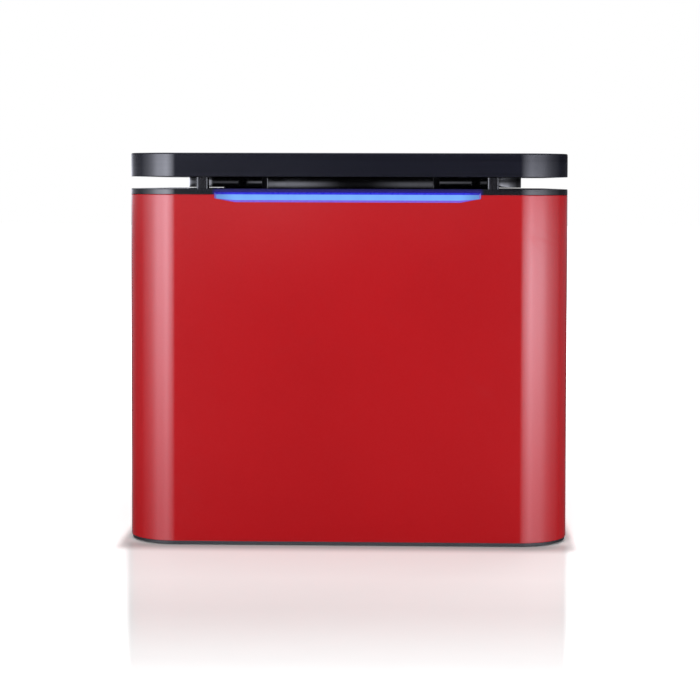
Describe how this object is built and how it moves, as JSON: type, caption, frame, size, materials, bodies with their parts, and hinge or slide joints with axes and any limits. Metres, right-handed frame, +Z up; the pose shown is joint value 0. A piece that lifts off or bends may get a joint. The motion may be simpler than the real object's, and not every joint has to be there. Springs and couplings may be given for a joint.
{
  "type": "real-time pcr machine",
  "caption": "Desktop thermal cycler with optical readout: rounded red sleeve, lit front bar, hinged floating lid with heated press plate over tapered sample wells.",
  "frame": {"origin": "on the floor under the middle of the footprint", "axes": "+X to the object's right seen from the front, front faces -Y, +Z up"},
  "size_m": [0.25, 0.24, 0.221],
  "materials": {
    "red_paint": "satin",
    "black_metal": "fine texture",
    "foot_rubber": "matte",
    "black_screw": "blackened",
    "black_deck": "black anodised",
    "post_black": "black anodised",
    "bright_steel": "satin",
    "diffuser": "frosted, lit",
    "board_green": "solder mask",
    "led_blue": "clear",
    "plain_aluminium": "satin",
    "block_aluminium": "bead blasted",
    "tile_ceramic": "matte",
    "black_plastic": "moulded",
    "clear_guide": "clear",
    "fan_plastic": "moulded",
    "socket_plastic": "moulded",
    "contact_brass": "plated",
    "rocker_plastic": "gloss",
    "chip_plastic": "moulded",
    "port_steel": "plated",
    "hinge_steel": "blackened",
    "lid_black": "brushed, black anodised",
    "lid_under": "black anodised",
    "gloss_black": "gloss",
    "plate_aluminium": "satin",
    "mat_orange": "silicone"
  },
  "bodies": {
    "cabinet": {"outer_shell": "red_paint", "base_plate": "black_metal", "feet": "foot_rubber", "base_screws": "black_screw", "top_deck": "black_deck", "deck_screws": "black_screw", "lid_rests": "post_black", "rest_magnets": "bright_steel", "light_bar": "diffuser", "light_board": "board_green", "bar_leds": "led_blue", "light_bracket": "plain_aluminium", "sample_block": "block_aluminium", "block_screws": "bright_steel", "thermal_modules": "tile_ceramic", "heat_sink": "plain_aluminium", "sink_posts": "plain_aluminium", "well_bezel": "black_plastic", "guide_blocks": "black_plastic", "light_guides": "clear_guide", "detector_boards": "board_green", "exhaust_duct": "black_plastic", "fan_frame": "black_plastic", "rear_panel": "black_metal", "panel_screws": "black_screw", "mains_inlet": "socket_plastic", "inlet_pins": "contact_brass", "switch_frame": "socket_plastic", "board_standoffs": "contact_brass", "main_board": "board_green", "board_parts": "chip_plastic", "computer_board": "board_green", "rear_ports": "port_steel", "power_supply": "port_steel", "supply_terminals": "chip_plastic", "deck_hinges": "hinge_steel", "hinge_pins": "bright_steel", "deck_hinge_screws": "black_screw"},
    "lid": {"lid_hinges": "hinge_steel", "lid_hinge_screws": "black_screw", "lid_cover": "lid_black", "lid_base": "lid_under", "lid_screws": "black_screw", "catch_discs": "bright_steel", "hinge_housing": "gloss_black", "heater_frame": "gloss_black", "lens_plate": "clear_guide", "excitation_board": "board_green", "excitation_leds": "led_blue", "guide_pins": "bright_steel", "plate_springs": "bright_steel"},
    "press_plate": {"heated_plate": "plate_aluminium", "heater_mat": "mat_orange"},
    "fan": {"fan_rotor": "fan_plastic"},
    "rocker": {"power_rocker": "rocker_plastic"}
  },
  "joints": [
    {"name": "lid_hinge", "type": "hinge", "parent": "cabinet", "child": "lid", "pos_m": [0, 0.117, 0.2043], "axis": [-1, 0, 0], "range_deg": [0, 90]},
    {"name": "press_plate_slide", "type": "slide", "parent": "lid", "child": "press_plate", "axis": [0, 0, 1], "range_m": [0, 0.002], "stiffness_N_per_m": 2000, "springref_m": -0.005, "deforming": ["plate_springs"]},
    {"name": "fan_spin", "type": "hinge", "parent": "cabinet", "child": "fan", "pos_m": [0, 0.103, 0.13], "axis": [0, 1, 0], "continuous": true},
    {"name": "rocker_tilt", "type": "hinge", "parent": "cabinet", "child": "rocker", "pos_m": [-0.058, 0.11575, 0.07], "axis": [1, 0, 0], "range_deg": [0, 14]}
  ]
}
